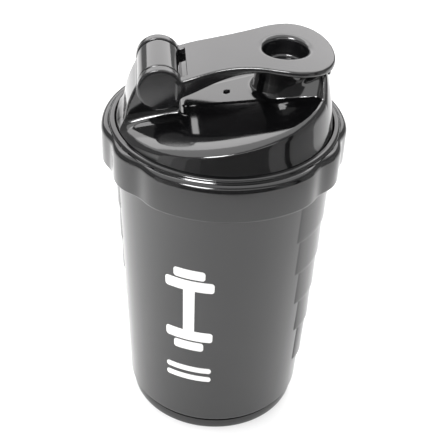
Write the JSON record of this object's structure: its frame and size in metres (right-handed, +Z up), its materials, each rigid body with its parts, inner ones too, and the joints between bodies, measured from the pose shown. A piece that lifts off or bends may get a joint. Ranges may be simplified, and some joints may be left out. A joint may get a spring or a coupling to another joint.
{
  "type": "protein shaker bottle",
  "caption": "Tapered shaker cup with stepped side grips, a lobed screw collar, a domed pour lid with a spout, and a flip-over arm that plugs the spout.",
  "frame": {"origin": "bottom centre of the cup, on the surface it stands on", "axes": "+Z up along the cup's axis; +X from the hinge post towards the spout; the hinge axis runs along Y"},
  "size_m": [0.0992, 0.0992, 0.1725],
  "materials": {
    "cup_plastic": "satin-gloss black moulded plastic",
    "lid_plastic": "polished black moulded plastic",
    "inner_plastic": "dark grey satin plastic",
    "seal_rubber": "matt grey silicone rubber"
  },
  "bodies": {
    "cup": {"cup_body": "cup_plastic"},
    "lid": {"pour_dome": "lid_plastic", "lid_gasket": "seal_rubber", "hinge_pin": "inner_plastic"},
    "collar": {"screw_collar": "lid_plastic"},
    "arm": {"flip_arm": "lid_plastic", "plug_seal": "seal_rubber"},
    "strainer": {"mixing_grid": "inner_plastic"}
  },
  "joints": [
    {"name": "lid_lift", "type": "slide", "parent": "cup", "child": "lid", "axis": [0, 0, 1], "range_m": [0, 0.018]},
    {"name": "collar_turn", "type": "hinge", "parent": "lid", "child": "collar", "pos_m": [0, 0, 0.13], "axis": [0, 0, 1], "range_deg": [0, 405]},
    {"name": "arm_flip", "type": "hinge", "parent": "lid", "child": "arm", "pos_m": [-0.0265, 0, 0.1615], "axis": [0, -1, 0], "range_deg": [0, 165]},
    {"name": "grid_pull", "type": "slide", "parent": "lid", "child": "strainer", "axis": [0, 0, -1], "range_m": [0, 0.02]}
  ],
  "couplings": [
    {"joint": "collar_turn", "follows": "lid_lift", "rad_per_m": 392.7}
  ]
}
